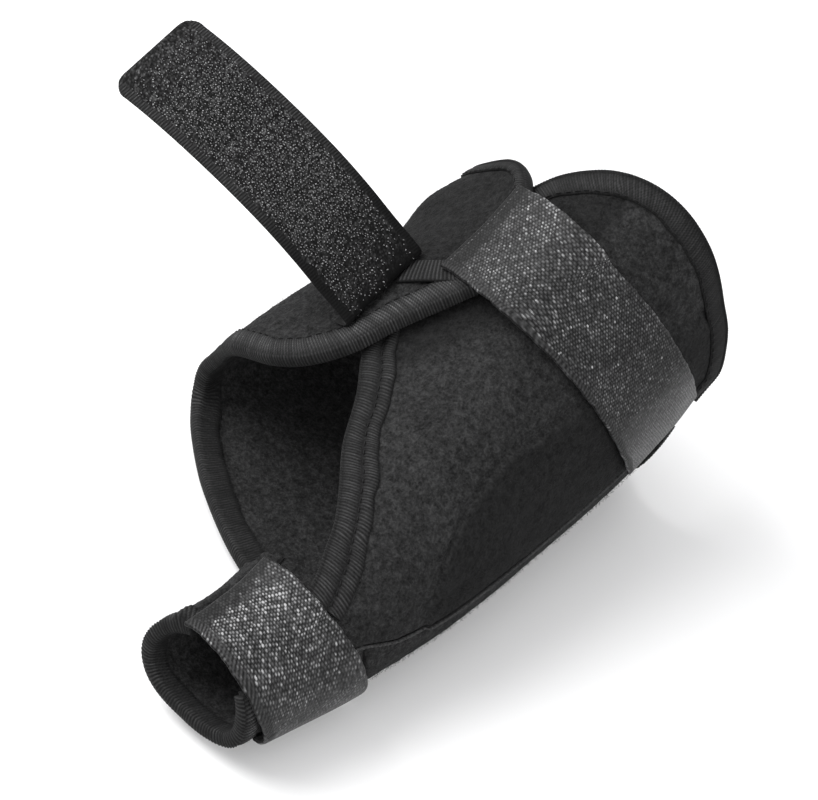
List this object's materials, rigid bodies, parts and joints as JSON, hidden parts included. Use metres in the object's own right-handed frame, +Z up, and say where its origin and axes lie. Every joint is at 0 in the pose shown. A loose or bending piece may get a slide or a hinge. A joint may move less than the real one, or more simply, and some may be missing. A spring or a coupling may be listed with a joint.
{
  "type": "bunion corrector",
  "caption": "Soft wrap brace for a right foot with a splint pocket at the big-toe side, a toe cuff and hook straps, shown worn with one strap held open.",
  "frame": {"origin": "on the inside of the sole under the middle of the foot, where the foot sits on the brace", "axes": "+Y towards the heel, -Y towards the toes, +X towards the big-toe side, +Z up away from the sole"},
  "size_m": [0.1401, 0.1722, 0.1059],
  "materials": {
    "medial_panel": "brushed black fleece laminate",
    "sole_flap": "brushed black fleece laminate",
    "toe_cuff": "brushed black fleece laminate",
    "medial_front_tape": "ribbed black edge tape",
    "medial_rear_tape": "ribbed black edge tape",
    "flap_front_tape": "ribbed black edge tape",
    "flap_rear_tape": "ribbed black edge tape",
    "cuff_front_tape": "ribbed black edge tape",
    "toe_strap": "black woven strap with fine hooks",
    "ankle_strap": "black woven strap with fine hooks",
    "midfoot_strap": "black woven strap with fine hooks"
  },
  "bodies": {
    "root": {"medial_panel": "medial_panel", "sole_flap": "sole_flap", "toe_cuff": "toe_cuff", "medial_front_tape": "medial_front_tape", "medial_rear_tape": "medial_rear_tape", "flap_front_tape": "flap_front_tape", "flap_rear_tape": "flap_rear_tape", "cuff_front_tape": "cuff_front_tape", "toe_strap": "toe_strap", "ankle_strap": "ankle_strap", "midfoot_strap": "midfoot_strap"}
  },
  "joints": []
}
